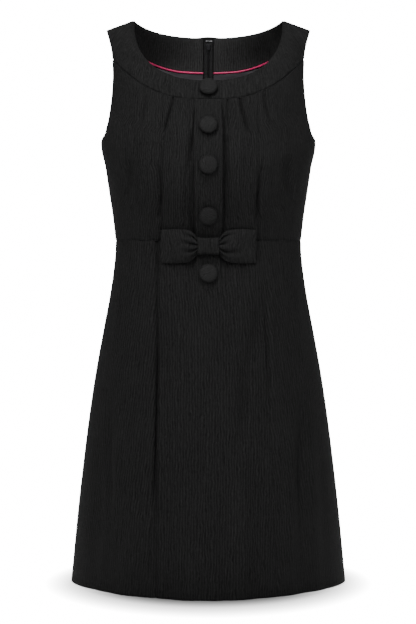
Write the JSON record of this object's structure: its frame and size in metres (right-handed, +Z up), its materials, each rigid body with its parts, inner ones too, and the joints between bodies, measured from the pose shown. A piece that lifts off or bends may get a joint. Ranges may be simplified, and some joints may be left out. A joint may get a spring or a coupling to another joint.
{
  "type": "a-line dress",
  "caption": "Sleeveless short a-line dress in black crinkled cloth, round yoke, mock placket of covered buttons, waist bow and back zip, open at neck, armholes and hem.",
  "frame": {"origin": "midway between the two neck-and-shoulder points, at the height where the shoulders hold the dress up", "axes": "+Z up along the dress, -Y is the front with the buttons, +X is the right-hand side as seen from the front"},
  "size_m": [0.4248, 0.3436, 0.8671],
  "materials": {
    "cloth": "matte black crinkled crepe with fine vertical ribs",
    "band": "the same black cloth on the placket, buttons and bow",
    "lining": "dark grey-teal satin",
    "piping": "deep pink satin piping",
    "tape": "black woven zip tape and coil",
    "metal": "dark grey metal"
  },
  "bodies": {
    "dress": {"front_yoke": "cloth", "bodice_front_left": "cloth", "bodice_front_right": "cloth", "bodice_back_left": "cloth", "bodice_back_right": "cloth", "skirt_front_centre": "cloth", "skirt_side_front_left": "cloth", "skirt_side_front_right": "cloth", "skirt_back_left": "cloth", "skirt_back_right": "cloth", "back_facing_left": "cloth", "back_facing_right": "cloth", "placket": "band", "button_1": "band", "button_2": "band", "button_3": "band", "button_4": "band", "button_5": "band", "bow_loop_left": "band", "bow_loop_right": "band", "bow_knot": "band", "back_lining_left": "lining", "back_lining_right": "lining", "piping_left": "piping", "piping_right": "piping", "zip_tape_left": "tape", "zip_tape_right": "tape", "zip_coil": "tape", "zip_slider": "metal"},
    "pull_tab": {"pull_tab": "metal"}
  },
  "joints": [
    {"name": "pull_tab_swing", "type": "hinge", "parent": "dress", "child": "pull_tab", "pos_m": [0, 0.09524, -0.02453], "axis": [1, 0, 0], "range_deg": [0, 160]}
  ]
}
